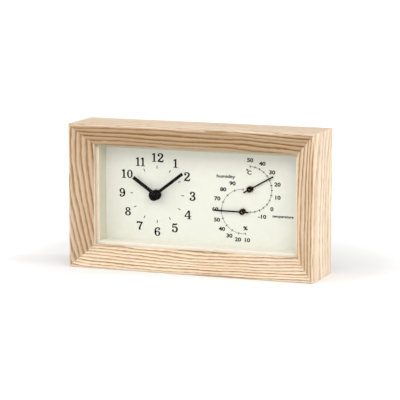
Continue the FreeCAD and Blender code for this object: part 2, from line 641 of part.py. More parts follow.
def make_front_case():
    half = CASE / 2
    floor_back = CASE_Y + CASE_FLOOR
    shell = case_block(-half, half, CASE_Y, CASE_SPLIT_Y, -half, half)
    shell = cut(shell, [bay_box(floor_back, CASE_SPLIT_Y), train_box(floor_back, CASE_SPLIT_Y)])
    shell = cut(shell, contact_slots(floor_back, CASE_SPLIT_Y))
    holes = [disc(CLOCK, PIPE_R + PLAY, BUSH_FRONT, floor_back)]
    for place in (KNOB, THIRD, SECONDS, FIFTH, ROTOR):
        holes.append(disc(place, PIVOT_R + PIVOT_PLAY, BOSS_TOP - HOLE_DEPTH, BOSS_TOP))
    save("movement_front_case", cut(fuse([shell] + moulded_supports()), holes))
    pad = case_block(-half + PAD_MARGIN, half - PAD_MARGIN, DIAL_BACK, CASE_Y,
                     -half + PAD_MARGIN, half - PAD_MARGIN)
    save("movement_pad", cut(pad, [disc(CLOCK, BUSH_R + PAD_BUSH_GAP, DIAL_BACK, CASE_Y)]))


def make_rear_case():
    half = CASE / 2
    upper = case_block(-half, half, CASE_SPLIT_Y, CASE_REAR_Y, BAY_ROOF, half)
    bay = case_block(-half, half, CASE_SPLIT_Y, BAY_REAR_Y, -half, BAY_ROOF)
    wall_front = CASE_REAR_Y - CASE_FLOOR
    rear = cut(fuse([upper, bay]), [
        bay_box(CASE_SPLIT_Y, BAY_REAR_Y), train_box(CASE_SPLIT_Y, wall_front),
        disc(KNOB, SET_ARBOR_R + PLAY, wall_front, CASE_REAR_Y)])
    save("movement_rear_case", cut(rear, contact_slots(CASE_SPLIT_Y, BOARD_Y + PIN_PROUD)))


def make_rear_plate():
    x0, x1, z0, z1 = PLATE_BOX
    rear_y = REAR_PLATE_Y + REAR_PLATE_THICK
    pivots = [disc(p, PIVOT_R + PIVOT_PLAY, REAR_PLATE_Y, rear_y) for p in (THIRD, SECONDS, FIFTH, ROTOR)]
    pivots.append(disc(CLOCK, ARBOR_R / 2 + PIVOT_PLAY, REAR_PLATE_Y, rear_y))
    pivots.append(disc(KNOB, SET_ARBOR_R + PLAY, REAR_PLATE_Y, rear_y))
    pivots += [disc(offset(CLOCK, *pillar), PILLAR_PIN_R, REAR_PLATE_Y, rear_y) for pillar in PILLARS]
    save("train_rear_plate", cut(case_block(x0, x1, REAR_PLATE_Y, rear_y, z0, z1), pivots))


# ---------------------------------------------------------------- back panel
def vent_places(centre):
    """Hexagon of holes round one centre hole."""
    ring = [polar(centre, VENT_PITCH, k * math.pi / 3) for k in range(6)]
    return [centre] + ring


def screw(place, seat):
    """Pan-head screw with a cross slot, its head on the seat."""
    tall, half = SLOT_HALF
    head = disc(place, SCREW_HEAD_R, seat, seat + SCREW_HEAD)
    shank = disc(place, SCREW_R, PANEL_Y - SCREW_LENGTH, seat)
    upright = block(place[0] - half, place[0] + half, seat + SLOT_FLOOR, seat + SCREW_HEAD,
                    place[1] - tall, place[1] + tall)
    return cut(fuse([head, shank]), [upright, turned(upright, place, 90)])


def make_back_panel():
    x = HALF - LEDGE_INSET - FIT
    low = LEDGE_INSET + FIT
    rear = PANEL_Y + PANEL_THICK
    panel = block(-x, x, PANEL_Y, rear, low, HEIGHT - low)
    half = CASE / 2 + CUTOUT_MARGIN
    opening = case_block(-half, half, PANEL_Y, rear, -half, half)
    uprights = [edge for edge in opening.Edges if abs(edge.tangentAt(edge.FirstParameter).y) > 0.9]
    opening = opening.makeFillet(CUTOUT_CORNER, uprights)
    holes = [disc(p, SCREW_R + SCREW_CLEARANCE, PANEL_Y, rear) for p in screw_places()]
    for sensor in (THERMO, HYGRO):
        holes += [disc(p, VENT_R, PANEL_Y, rear) for p in vent_places(sensor)]
    save("back_panel", cut(panel, [opening] + holes))

    save("back_panel_screws", Part.makeCompound([screw(place, rear) for place in screw_places()]))


os.makedirs("parts", exist_ok=True)
make_frame()
make_window()
make_corner_blocks()
make_hands()
make_sensor("thermometer", THERMO, THERMO_BLADE_Y, THERMO_ANGLE, True)
make_sensor("hygrometer", HYGRO, HYGRO_BLADE_Y, HYGRO_ANGLE, False)
make_motion_work()
make_going_train()
make_motor()
make_electronics()
make_battery()
make_contacts()
make_front_case()
make_rear_case()
make_rear_plate()
make_back_panel()
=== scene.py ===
"""Looks of the ash box clock with its thermometer and hygrometer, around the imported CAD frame.

Metres, in the CAD's own frame: +X along the width, +Y from the dial to the back, +Z up. Lengths that
are easier to read in millimetres are written as a number times MM. Dial angles are clockwise from
twelve o'clock, seen from the front.
"""
import json
import math

import bmesh
import bpy
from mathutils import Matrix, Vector


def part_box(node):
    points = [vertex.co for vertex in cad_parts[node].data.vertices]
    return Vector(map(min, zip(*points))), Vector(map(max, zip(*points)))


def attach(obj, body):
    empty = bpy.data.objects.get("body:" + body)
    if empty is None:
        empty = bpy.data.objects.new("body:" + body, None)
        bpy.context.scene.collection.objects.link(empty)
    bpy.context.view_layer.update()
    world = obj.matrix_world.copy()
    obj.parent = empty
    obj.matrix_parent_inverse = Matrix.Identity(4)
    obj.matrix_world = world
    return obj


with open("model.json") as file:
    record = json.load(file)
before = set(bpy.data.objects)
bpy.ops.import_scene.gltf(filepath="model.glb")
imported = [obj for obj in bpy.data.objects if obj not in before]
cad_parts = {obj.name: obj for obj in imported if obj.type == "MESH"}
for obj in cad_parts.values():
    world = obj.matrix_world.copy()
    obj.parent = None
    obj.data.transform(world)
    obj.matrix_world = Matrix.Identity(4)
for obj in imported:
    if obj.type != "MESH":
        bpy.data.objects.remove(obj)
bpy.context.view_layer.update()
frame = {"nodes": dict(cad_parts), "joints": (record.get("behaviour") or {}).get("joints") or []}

MM = 0.001
JOINTS = {joint["name"]: joint for joint in frame["joints"]}
DIAL_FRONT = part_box("dial_plate")[0][1]
CLOCK = Vector(JOINTS["minute_hand_turn"]["pos_m"])
THERMO = Vector(JOINTS["thermometer_turn"]["pos_m"])
HYGRO = Vector(JOINTS["hygrometer_turn"]["pos_m"])
# The print lies just clear of the dial card.
PRINT_BACK = DIAL_FRONT - 0.01 * MM
PRINT_THICK = 0.05 * MM
PRINT_FRONT = PRINT_BACK - PRINT_THICK


# ================================================================ camera and light
CAMERA_PLACE = (0.6061, -1.5927, 0.3253)
CAMERA_DOWN = 8.963
CAMERA_ROUND = 20.814
LENS = 195.25
SENSOR = 36.0
WORLD_FILL = 0.3
# Each lamp: name, the way to it, its strength and its width in degrees.
SUNS = (
    ("front", (0.0, -1.0, 0.65), 0.52, 35),
    ("front_left", (-0.85, -0.9, 0.85), 0.86, 40),
    ("front_right", (0.75, -0.8, 0.6), 1.02, 35),
    ("left", (-1.0, -0.4, 0.5), 0.42, 35),
    ("right", (1.0, 0.03, 0.35), 1.80, 35),
    ("top", (0.0, 0.05, 1.0), 1.30, 60))
FLOOR_HALF = 12.0
# Off-white paper with painted light beyond an oval about the clock: brighter far out, so the clock's
# shadows fade there.
PAPER_DARK = (0.78, 0.78, 0.78)
PAPER_LIGHT = (0.80, 0.80, 0.80)
PAPER_PAINTED_LIGHT = (0.90, 0.90, 0.90)
PAINTED_LIGHT_OVAL_CENTRE = (-0.01, 0.03)
PAINTED_LIGHT_OVAL_HALF = (0.186, 0.20)


def add_camera():
    """The viewing angle: round to the right and down by the angles above, from 1.7 m."""
    data = bpy.data.cameras.new("camera")
    data.sensor_width = SENSOR
    data.lens = LENS
    data.clip_start = 0.1
    data.clip_end = 50.0
    camera = bpy.data.objects.new("camera", data)
    camera.location = CAMERA_PLACE
    camera.rotation_euler = (math.radians(90 - CAMERA_DOWN), 0, math.radians(CAMERA_ROUND))
    bpy.context.collection.objects.link(camera)
    bpy.context.scene.camera = camera


def add_sun(name, towards, energy, softness):
    """Even light over the whole floor; towards points at the lamp."""
    data = bpy.data.lights.new(name, "SUN")
    data.energy = energy
    data.angle = math.radians(softness)
    sun = bpy.data.objects.new(name, data)
    sun.rotation_euler = Vector(towards).to_track_quat("Z", "Y").to_euler()
    bpy.context.collection.objects.link(sun)


def add_world():
    """Soft white all round: a faint fill for the object, pure white where nothing stands before it."""
    world = bpy.data.worlds.new("soft_white")
    world.use_nodes = True
    background = world.node_tree.nodes["Background"]
    background.inputs["Color"].default_value = (1.0, 1.0, 1.0, 1)
    path = world.node_tree.nodes.new("ShaderNodeLightPath")
    strength = world.node_tree.nodes.new("ShaderNodeMapRange")
    strength.inputs["To Min"].default_value = WORLD_FILL
    strength.inputs["To Max"].default_value = 1.0
    world.node_tree.links.new(path.outputs["Is Camera Ray"], strength.inputs["Value"])
    world.node_tree.links.new(strength.outputs[0], background.inputs["Strength"])
    bpy.context.scene.world = world
    bpy.context.scene.view_settings.view_transform = "Standard"


def add_floor():
    """A wide sheet of paper under the clock."""
    mesh = bpy.data.meshes.new("floor")
    corners = [(x * FLOOR_HALF, y * FLOOR_HALF, 0) for x, y in ((-1, -1), (1, -1), (1, 1), (-1, 1))]
    mesh.from_pydata(corners, [], [(0, 1, 2, 3)])
    floor = bpy.data.objects.new("floor", mesh)
    bpy.context.collection.objects.link(floor)
    graph = Graph("floor_paper", roughness=0.9)
    coords = graph.object_coords()
    paper = graph.ramp(graph.noise(coords, 35.0, 3), [(0.3, PAPER_DARK), (0.7, PAPER_LIGHT)])
    # Painted light: past the oval the paper turns brighter, and the clock's cast shadows fade into it.
    reach = graph.oval(coords, PAINTED_LIGHT_OVAL_CENTRE, PAINTED_LIGHT_OVAL_HALF)
    far = graph.ramp(reach, [(0.72, 0.0), (1.0, 1.0)], "EASE")
    graph.set("Base Color", graph.mix(far, paper, PAPER_PAINTED_LIGHT))
    mesh.materials.append(graph.material)


# ================================================================ material graphs
class Graph:
    """A Principled material whose nodes are added by short calls."""

    def __init__(self, name, **sockets):
        self.material = bpy.data.materials.new(name)
        self.material.use_nodes = True
        self.tree = self.material.node_tree
        self.shader = self.tree.nodes["Principled BSDF"]
        for key, value in sockets.items():
            self.shader.inputs[key.replace("_", " ").title().replace("Ior", "IOR")].default_value = value

    def node(self, kind, **settings):
        made = self.tree.nodes.new(kind)
        for key, value in settings.items():
            setattr(made, key, value)
        return made

    def feed(self, socket, value):
        """Links an output, or sets a plain value; None leaves the socket as it is."""
        if isinstance(value, bpy.types.NodeSocket):
            self.tree.links.new(value, socket)
        elif value is not None:
            socket.default_value = value

    def set(self, name, value):
        """Feeds one of the shader's own inputs."""
        if isinstance(value, tuple) and len(value) == 3 and "Color" in name:
            value = (*value, 1)
        self.feed(self.shader.inputs[name], value)

    def object_coords(self):
        return self.node("ShaderNodeTexCoord").outputs["Object"]

    def mapping(self, vector, location=(0, 0, 0), rotation=(0, 0, 0), scale=(1, 1, 1)):
        made = self.node("ShaderNodeMapping")
        self.feed(made.inputs["Vector"], vector)
        made.inputs["Location"].default_value = location
        made.inputs["Rotation"].default_value = rotation
        made.inputs["Scale"].default_value = scale
        return made.outputs[0]

    def noise(self, vector, scale, detail=2.0, roughness=0.5, distortion=0.0):
        made = self.node("ShaderNodeTexNoise")
        self.feed(made.inputs["Vector"], vector)
        made.inputs["Scale"].default_value = scale
        made.inputs["Detail"].default_value = detail
        made.inputs["Roughness"].default_value = roughness
        made.inputs["Distortion"].default_value = distortion
        return made.outputs[0]

    def math(self, operation, a, b=None):
        made = self.node("ShaderNodeMath", operation=operation)
        self.feed(made.inputs[0], a)
        self.feed(made.inputs[1], b)
        return made.outputs[0]

    def split(self, vector):
        made = self.node("ShaderNodeSeparateXYZ")
        self.feed(made.inputs[0], vector)
        return made.outputs

    def join(self, x, y, z):
        made = self.node("ShaderNodeCombineXYZ")
        for socket, value in zip(made.inputs, (x, y, z)):
            self.feed(socket, value)
        return made.outputs[0]

    def length(self, vector):
        made = self.node("ShaderNodeVectorMath", operation="LENGTH")
        self.feed(made.inputs[0], vector)
        return made.outputs["Value"]

    def oval(self, vector, centre, half):
        """How far out a point lies, flat on x and y: 1 on the oval with these half axes."""
        return self.length(self.mapping(vector, scale=(1 / half[0], 1 / half[1], 0),
                                        location=(-centre[0] / half[0], -centre[1] / half[1], 0)))

    def rise(self, value, limits):
        """0 at the first limit and before it, 1 at the second and past it."""
        made = self.node("ShaderNodeMapRange")
        self.feed(made.inputs["Value"], value)
        made.inputs["From Min"].default_value, made.inputs["From Max"].default_value = limits
        return made.outputs[0]

    def ramp(self, fac, stops, ease="LINEAR"):
        """stops are (position, colour) or (position, grey)."""
        made = self.node("ShaderNodeValToRGB")
        made.color_ramp.interpolation = ease
        elements = made.color_ramp.elements
        while len(elements) < len(stops):
            elements.new(0.5)
        for element, (position, colour) in zip(elements, stops):
            rgb = colour if isinstance(colour, tuple) else (colour,) * 3
            element.position = position
            element.color = (*rgb, 1)
        self.feed(made.inputs[0], fac)
        return made.outputs[0]

    def mix(self, fac, a, b, blend="MIX"):
        made = self.node("ShaderNodeMix", data_type="RGBA", blend_type=blend)
        self.feed(made.inputs["Factor"], fac)
        for socket, value in ((made.inputs[6], a), (made.inputs[7], b)):
            self.feed(socket, (*value, 1) if isinstance(value, tuple) else value)
        return made.outputs[2]

    def bump(self, height, distance, strength=1.0):
        made = self.node("ShaderNodeBump")
        made.inputs["Strength"].default_value = strength
        made.inputs["Distance"].default_value = distance
        self.feed(made.inputs["Height"], height)
        self.feed(self.shader.inputs["Normal"], made.outputs[0])


# ================================================================ wood
ASH_PALE = (0.730, 0.621, 0.496)
ASH_MID = (0.660, 0.518, 0.371)
ASH_LINE = (0.325, 0.155, 0.040)
ASH_PORE = (0.25, 0.125, 0.048)
# Flat pale edge of the opening, painted lighter: painted light on a face in shade.
ASH_CUT_PAINTED_LIGHT = (0.74, 0.63, 0.48)
ASH_CLOUD = (0.86, 0.80, 0.72)
# Moves each rail's noise to a place of its own, in mm for one step of the seed.
SEED_STEP = (137.0, 61.0, 29.0)
BOW_SPAN = 50.0
# Wander of the rings: waves per mm along and across the grain, and their height in mm.
RING_WAVES = (((0.010, 0.035, 0.035), 4.5), ((0.045, 0.13, 0.13), 1.5), ((0.22, 0.7, 0.7), 0.6))
SKIN_LINES = 0.25


def ash(name, along, pith, lean, bow, ring, seed, skin, shade, streak, wall=None):
    """Ash: growth rings about a far pith, a brown line of open pores at the start of each ring.

    All lengths are in mm. along is the grain axis and pith the ring centre, in depth and across
    the grain. The rings lean by that much per mm of length; bow is how far they bend over
    BOW_SPAN, and where along the grain that bend has its middle. ring is their width.
    From the outer face to the bevel, over skin, the lines gain strength and shade tints the bevel as
    painted light and shade.
    streak is one long brown patch: its middle and half length, then the same across the grain.
    Over wall the wood turns into a flat pale edge without lines, lighter than the wood: painted light on a
    face in shade.
    """
    graph = Graph(name, roughness=0.5, specular_ior_level=0.25)
    x, y, z = [graph.math("MULTIPLY", value, 1 / MM) for value in graph.split(graph.object_coords())]
    grain, across = (x, z) if along == "X" else (z, x)
    seeded = graph.mapping(graph.join(grain, y, across), location=tuple(seed * step for step in SEED_STEP))

    depth = graph.math("SUBTRACT", y, pith[0])
    radius = graph.length(graph.join(0.0, depth, graph.math("SUBTRACT", across, pith[1])))
    middle = graph.math("SUBTRACT", grain, bow[1])
    curve = graph.math("MULTIPLY", graph.math("MULTIPLY", middle, middle), bow[0] / BOW_SPAN ** 2)
    shift = graph.math("ADD", graph.math("MULTIPLY", grain, lean), curve)
    for scale, height in RING_WAVES:
        wobble = graph.noise(graph.mapping(seeded, scale=scale), 1.0, 1)
        shift = graph.math("ADD", shift, graph.math("MULTIPLY", wobble, height))
    turns = graph.math("DIVIDE", graph.math("ADD", radius, shift), ring)
    phase = graph.math("FRACT", turns)
    year = graph.noise(graph.join(graph.math("FLOOR", turns), seed, 0.0), 3.7, 0)

    fibre = graph.noise(graph.mapping(seeded, scale=(0.04, 1.6, 1.6)), 1.0, 3, 0.6)
    pores = graph.noise(graph.mapping(seeded, scale=(0.16, 3.4, 3.4)), 1.0, 1, 0.5)
    line = graph.ramp(phase, [(0.0, 0.0), (0.05, 0.9), (0.27, 1.0), (0.45, 0.4), (0.72, 0.0)])
    broken = graph.math("MULTIPLY", line, graph.ramp(fibre, [(0.25, 0.55), (0.6, 1.0)]))
    strength = graph.ramp(year, [(0.35, 0.55), (0.6, 1.0)])
    inside = graph.rise(across, skin)
    boldness = graph.math("ADD", graph.math("MULTIPLY", inside, 1 - SKIN_LINES), SKIN_LINES)
    reach = graph.oval(graph.join(grain, across, 0.0), streak[::2], streak[1::2])
    ragged = graph.math("ADD", reach, graph.math("MULTIPLY", fibre, 0.8))
    brown = graph.ramp(ragged, [(0.35, 0.75), (0.95, 0.55), (1.0, 0.0)], "EASE")
    stain = graph.math("MULTIPLY", graph.math("MULTIPLY", broken, strength), boldness)
    stain = graph.math("MAXIMUM", stain, brown)
    pore = graph.math("MULTIPLY", graph.ramp(pores, [(0.54, 0.0), (0.64, 1.0)]), line)

    body = graph.mix(graph.ramp(fibre, [(0.35, 0.0), (0.68, 1.0)]), ASH_PALE, ASH_MID)
    lined = graph.mix(stain, body, ASH_LINE)
    cloud = graph.noise(graph.mapping(seeded, scale=(0.012, 0.06, 0.06)), 1.0, 1)
    clouded = graph.mix(graph.ramp(cloud, [(0.35, 0.0), (0.7, 0.5)]), lined, ASH_CLOUD, "MULTIPLY")
    # Painted light and shade: past the skin, each bevel is tinted by its rail's shade.
    with_painted_light = graph.mix(inside, clouded, graph.mix(1.0, clouded, shade, "MULTIPLY"))
    surface = graph.mix(graph.math("MULTIPLY", pore, 0.7), with_painted_light, ASH_PORE)
    # Painted light: the lip's inner face gets a flat pale colour, lighter than the shade it lies in.
    if wall:
        surface = graph.mix(graph.rise(across, wall), surface, ASH_CUT_PAINTED_LIGHT)
    graph.set("Base Color", surface)
    graph.set("Roughness", graph.ramp(stain, [(0.0, 0.62), (1.0, 0.8)]))
    hollow = graph.math("ADD", graph.math("MULTIPLY", line, 0.6), pore)
    height = graph.math("SUBTRACT", graph.math("MULTIPLY", fibre, 0.3), hollow)
    graph.bump(height, 0.16 * MM, 1.0)
    return graph.material


def pine(name):
    """Sawn softwood with short streaks of grain."""
    graph = Graph(name, roughness=0.65)
    coords = graph.mapping(graph.object_coords(), scale=(60, 400, 400))
    grain = graph.noise(coords, 1.0, 3, 0.6)
    graph.set("Base Color", graph.ramp(grain, [(0.3, (0.80, 0.62, 0.38)), (0.7, (0.62, 0.42, 0.22))]))
    graph.bump(grain, 0.1 * MM, 0.4)
    return graph.material


def hardboard(name):
    """Pressed brown fibreboard: short dark and light fibres on a smooth skin."""
    graph = Graph(name, roughness=0.55)
    coords = graph.object_coords()
    fibres = graph.noise(graph.mapping(coords, scale=(900, 900, 300)), 1.0, 4, 0.65, 0.8)
    clouds = graph.noise(coords, 45.0, 2)
    base = graph.ramp(fibres, [(0.3, (0.20, 0.115, 0.06)), (0.55, (0.31, 0.19, 0.105)),
                               (0.75, (0.42, 0.28, 0.16))])
    shade = graph.ramp(clouds, [(0.3, (0.86, 0.84, 0.82)), (0.7, (1.0, 1.0, 1.0))])
    graph.set("Base Color", graph.mix(1.0, base, shade, "MULTIPLY"))
    graph.set("Roughness", graph.ramp(fibres, [(0.3, 0.48), (0.7, 0.62)]))
    graph.bump(fibres, 0.05 * MM, 0.5)
    return graph.material


# ================================================================ plastics, metals, glass
def moulded(name, colour, roughness, speckle=0.06, texture=900.0, depth=0.02 * MM, gloss=0.5):
    """Moulded plastic or paint: a faint mottle and a fine spark-eroded texture."""
    graph = Graph(name, specular_ior_level=gloss)
    coords = graph.object_coords()
    mottle = graph.noise(coords, 60.0, 2)
    low = tuple(channel * (1 - speckle) for channel in colour)
    high = tuple(min(1.0, channel * (1 + speckle)) for channel in colour)
    graph.set("Base Color", graph.ramp(mottle, [(0.35, low), (0.65, high)]))
    fine = graph.noise(coords, texture, 2, 0.6)
    graph.set("Roughness", graph.ramp(fine, [(0.3, roughness - 0.04), (0.7, roughness + 0.05)]))
    graph.bump(fine, depth, 0.5)
    return graph.material


def metal(name, colour, roughness, stretch=(1, 1, 1)):
    """Worked metal: fine marks, finest along the axis with the largest stretch."""
    graph = Graph(name, roughness=roughness, metallic=1.0)
    marks = graph.noise(graph.mapping(graph.object_coords(), scale=stretch), 400.0, 3, 0.6)
    dull = tuple(channel * 0.82 for channel in colour)
    graph.set("Base Color", graph.ramp(marks, [(0.3, dull), (0.7, colour)]))
    graph.set("Roughness", graph.ramp(marks, [(0.3, roughness * 0.8), (0.7, roughness * 1.25)]))
    graph.bump(marks, 0.01 * MM, 0.4)
    return graph.material


def printed_dial(name):
    """Ivory card: a faint fibre mottle under a matt print coat."""
    graph = Graph(name, roughness=0.62)
    coords = graph.object_coords()
    mottle = graph.noise(coords, 220.0, 4, 0.6)
    graph.set("Base Color", graph.ramp(mottle, [(0.3, (0.715, 0.72, 0.645)), (0.7, (0.74, 0.745, 0.67))]))
    fine = graph.noise(coords, 2500.0, 2, 0.5)
    graph.bump(fine, 0.01 * MM, 0.35)
    return graph.material


def spacer_card(name, wall, bright_part):
    """Cream strips: painted shade greys their walls and painted light brightens their front edge."""
    graph = Graph(name, roughness=0.65)
    coords = graph.object_coords()
    y = graph.split(coords)[1]
    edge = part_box("spacer_top")[0][1] + 0.2 * MM
    mottle = graph.noise(coords, 300.0, 3)
    # Painted light and shade: the front edge takes the bright colour, the walls behind it the grey one.
    painted_light_and_shade = graph.mix(graph.math("LESS_THAN", y, edge), wall, bright_part)
    graph.set("Base Color", graph.mix(1.0, painted_light_and_shade, graph.ramp(mottle, [(0.3, 0.96), (0.7, 1.0)]), "MULTIPLY"))
    graph.bump(mottle, 0.02 * MM, 0.4)
    return graph.material


def clear_glass(name):
    """Thin flat glass: bends nothing visible, mirrors a little, and lets lamp light through."""
    graph = Graph(name, roughness=0.01, ior=1.12)
    graph.shader.inputs["Transmission Weight"].default_value = 1.0
    smears = graph.noise(graph.object_coords(), 25.0, 2)
    graph.set("Base Color", graph.ramp(smears, [(0.3, (0.985, 0.995, 0.99)), (0.7, (1.0, 1.0, 1.0))]))
    path = graph.node("ShaderNodeLightPath")
    through = graph.node("ShaderNodeBsdfTransparent")
    mixed = graph.node("ShaderNodeMixShader")
    either = graph.math("MAXIMUM", path.outputs["Is Shadow Ray"], path.outputs["Is Diffuse Ray"])
    graph.feed(mixed.inputs[0], either)
    graph.tree.links.new(graph.shader.outputs[0], mixed.inputs[1])
    graph.tree.links.new(through.outputs[0], mixed.inputs[2])
    graph.tree.links.new(mixed.outputs[0], graph.tree.nodes["Material Output"].inputs["Surface"])
    return graph.material


def cell_sleeve(name):
    """Battery sleeve: plain dark wrap, a bright band at the positive end and bare metal ends."""
    graph = Graph(name, roughness=0.35)
    low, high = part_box("aa_battery")
    coords = graph.object_coords()
    x = graph.split(coords)[0]
    along = graph.math("DIVIDE", graph.math("SUBTRACT", x, low[0]), high[0] - low[0])
    # From the negative end: bare metal, dark wrap, copper-coloured band, bare metal.
    starts = (0.0, 0.02, 0.72, 0.955)
    bright_part = (0.62, 0.61, 0.58)
    colours = (bright_part, (0.035, 0.04, 0.045), (0.60, 0.30, 0.10), bright_part)
    band = graph.ramp(along, list(zip(starts, colours)), "CONSTANT")
    scuffs = graph.noise(graph.mapping(coords, scale=(1, 4, 4)), 180.0, 3)
    graph.set("Base Color", graph.mix(0.12, band, graph.ramp(scuffs, [(0.4, 0.2), (0.7, 0.7)])))
    graph.set("Metallic", graph.ramp(along, list(zip(starts, (1.0, 0.0, 0.6, 1.0))), "CONSTANT"))
    graph.set("Roughness", graph.ramp(scuffs, [(0.3, 0.28), (0.7, 0.42)]))
    return graph.material


def foam(name):
    """Soft black foam with open cells."""
    graph = Graph(name, roughness=0.95)
    cells = graph.node("ShaderNodeTexVoronoi")
    graph.feed(cells.inputs["Vector"], graph.object_coords())
    cells.inputs["Scale"].default_value = 1800.0
    graph.set("Base Color", graph.ramp(cells.outputs[0], [(0.1, 0.02), (0.7, 0.06)]))
    graph.bump(cells.outputs[0], 0.1 * MM, 0.8)
    return graph.material


def wound_copper(name):
    """Enamelled wire, one turn beside the next along x."""
    graph = Graph(name, roughness=0.3, metallic=1.0)
    x = graph.split(graph.object_coords())[0]
    turns = graph.math("SINE", graph.math("MULTIPLY", x, 42000.0))
    graph.set("Base Color", graph.ramp(turns, [(0.2, (0.42, 0.15, 0.05)), (0.8, (0.80, 0.36, 0.16))]))
    graph.bump(turns, 0.05 * MM, 0.8)
    return graph.material


def circuit(name):
    """Green solder mask with pale tracks."""
    graph = Graph(name, roughness=0.35)
    bricks = graph.node("ShaderNodeTexBrick")
    upright = graph.mapping(graph.object_coords(), rotation=(math.radians(90), 0, 0))
    graph.feed(bricks.inputs["Vector"], upright)
    bricks.inputs["Scale"].default_value = 320.0
    bricks.inputs["Mortar Size"].default_value = 0.05
    bricks.inputs["Color1"].default_value = (0.03, 0.19, 0.08, 1)
    bricks.inputs["Color2"].default_value = (0.02, 0.16, 0.07, 1)
    bricks.inputs["Mortar"].default_value = (0.12, 0.36, 0.18, 1)
    graph.set("Base Color", bricks.outputs[0])
    graph.bump(bricks.outputs[1], 0.02 * MM, 0.5)
    return graph.material


# ================================================================ dressing the CAD nodes
SHARP = math.radians(30)
RAIL_ARRIS = 0.15 * MM
# Rounding of the other nodes' edges, in mm.
ARRISES = {
    "hour_hand": 0.12, "minute_hand": 0.12, "thermometer_pointer": 0.06, "hygrometer_pointer": 0.06,
    "movement_rear_case": 0.4, "setting_knob": 0.2, "back_panel": 0.25, "back_panel_screws": 0.25,
    "aa_battery": 0.6, "spacer_top": 0.15, "spacer_bottom": 0.15, "spacer_left": 0.15,
    "spacer_right": 0.15}


def soften(node, width):
    """Rounds a CAD node's sharp edges by a small bevel."""
    modifier = frame["nodes"][node].modifiers.new("edge", "BEVEL")
    modifier.width = width
    modifier.segments = 3
    modifier.limit_method = "ANGLE"
    modifier.angle_limit = SHARP
    modifier.harden_normals = True


def dress(node, material):
    """Gives a CAD node its one material."""
    mesh = frame["nodes"][node].data
    mesh.materials.clear()
    mesh.materials.append(material)


def dress_frame():
    """Four ash rails, each cut from a board with its own figure, and with painted light and shade on its
    bevel.
    """
    # shade tints each bevel: painted shade on the top and left ones, painted light on the bottom one.
    rails = {
        "frame_top_rail": dict(
            along="X", pith=(-45.0, 0.0), lean=0.03, bow=(0.4, 20.0), ring=2.8, seed=1.0,
            skin=(115.9, 114.2), shade=(0.75, 0.66, 0.53), streak=(24.0, 20.0, 114.9, 1.3)),
        "frame_bottom_rail": dict(
            along="X", pith=(-30.0, 130.0), lean=-0.012, bow=(0.5, -30.0), ring=2.05, seed=2.0,
            skin=(0.1, 1.8), shade=(1.13, 1.14, 1.13), streak=(30.0, 45.0, 0.9, 0.9)),
        "frame_left_stile": dict(
            along="Z", pith=(-40.0, 20.0), lean=0.0, bow=(2.6, 105.0), ring=2.9, seed=3.0,
            skin=(-102.9, -101.2), shade=(0.80, 0.73, 0.65), streak=(70.0, 9.0, -102.2, 1.2),
            wall=(-86.1, -85.9)),
        "frame_right_stile": dict(
            along="Z", pith=(-40.0, 0.0), lean=0.0, bow=(-1.2, 30.0), ring=2.9, seed=4.0,
            skin=(103.0, 102.6), shade=(1.02, 0.98, 0.905), streak=(80.0, 31.0, 101.5, 1.7),
            wall=(86.1, 85.9))}
    for node, figure in rails.items():
        dress(node, ash("ash_" + node, **figure))
        soften(node, RAIL_ARRIS)


